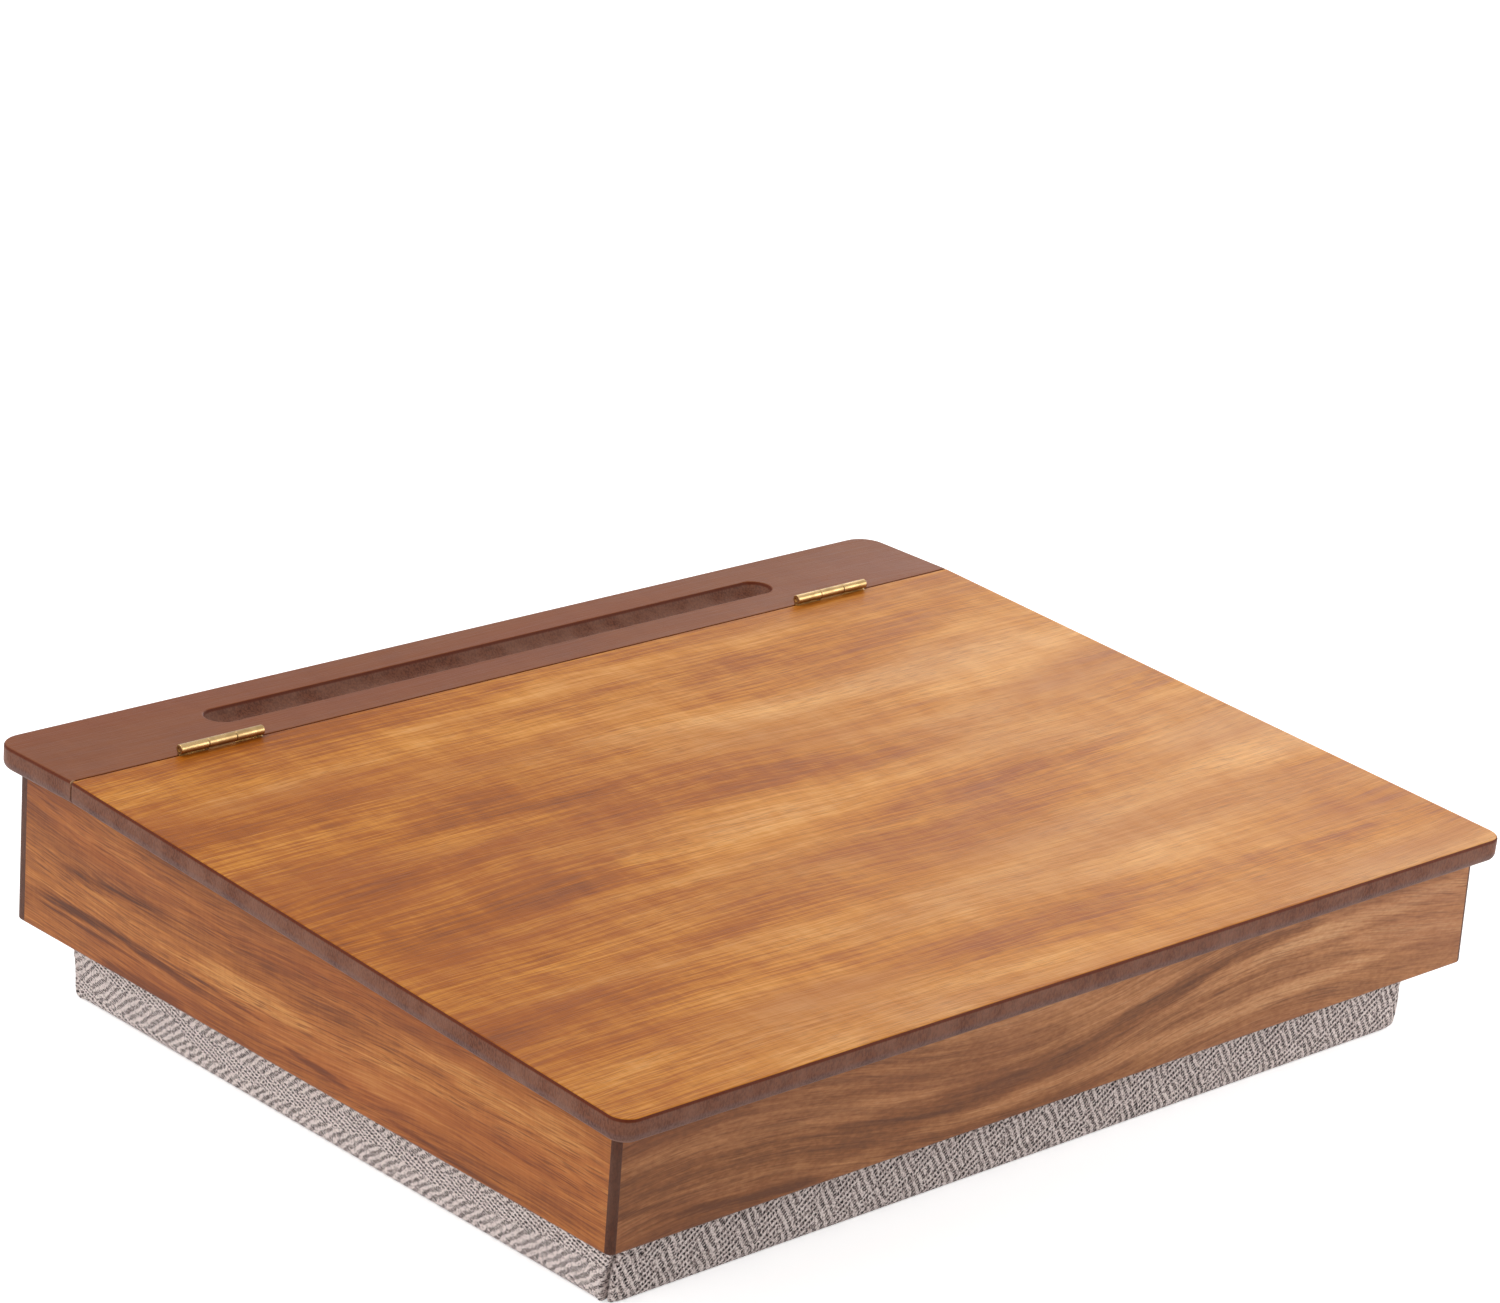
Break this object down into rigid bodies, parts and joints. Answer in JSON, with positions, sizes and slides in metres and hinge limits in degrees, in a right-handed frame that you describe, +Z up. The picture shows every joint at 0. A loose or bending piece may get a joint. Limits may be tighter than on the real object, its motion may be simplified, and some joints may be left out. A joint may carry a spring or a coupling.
{
  "type": "lap desk",
  "caption": "Wooden lap desk with a sloping lift-up lid over a storage compartment, a fixed rear strip with a pen groove, and a padded fabric cushion underneath.",
  "frame": {"origin": "on the surface the desk rests on, under the middle of the whole desk", "axes": "+X to the right along the longest side, +Y to the back (the hinge side), +Z up; the lid falls towards -Y"},
  "size_m": [0.42, 0.3329, 0.0974],
  "materials": {
    "lid_veneer": "satin",
    "strip_veneer": "satin",
    "wall_veneer": "satin",
    "floor_board": "satin",
    "cushion_board": "matte",
    "beech": "matte",
    "brass": "satin",
    "brass_screws": "satin",
    "steel": "satin",
    "foam": "matte",
    "herringbone": "matte"
  },
  "bodies": {
    "box": {"back_panel": "wall_veneer", "bottom_panel": "floor_board", "corner_brads": "steel", "cushion_board": "cushion_board", "cushion_cover": "herringbone", "cushion_foam": "foam", "cushion_screws": "steel", "cushion_staples": "steel", "front_panel": "wall_veneer", "left_hinge_fixed_leaf": "brass", "left_hinge_fixed_screws": "brass_screws", "left_hinge_pin": "brass", "left_side_panel": "wall_veneer", "rear_strip": "strip_veneer", "right_hinge_fixed_leaf": "brass", "right_hinge_fixed_screws": "brass_screws", "right_hinge_pin": "brass", "right_side_panel": "wall_veneer", "strip_dowels": "beech"},
    "lid": {"left_hinge_lid_leaf": "brass", "left_hinge_lid_screws": "brass_screws", "lid_board": "lid_veneer", "right_hinge_lid_leaf": "brass", "right_hinge_lid_screws": "brass_screws"}
  },
  "joints": [
    {"name": "lid_hinge", "type": "hinge", "parent": "box", "child": "lid", "pos_m": [0, 0.12, 0.0956], "axis": [-1, 0, 0], "range_deg": [0, 187.5]}
  ]
}
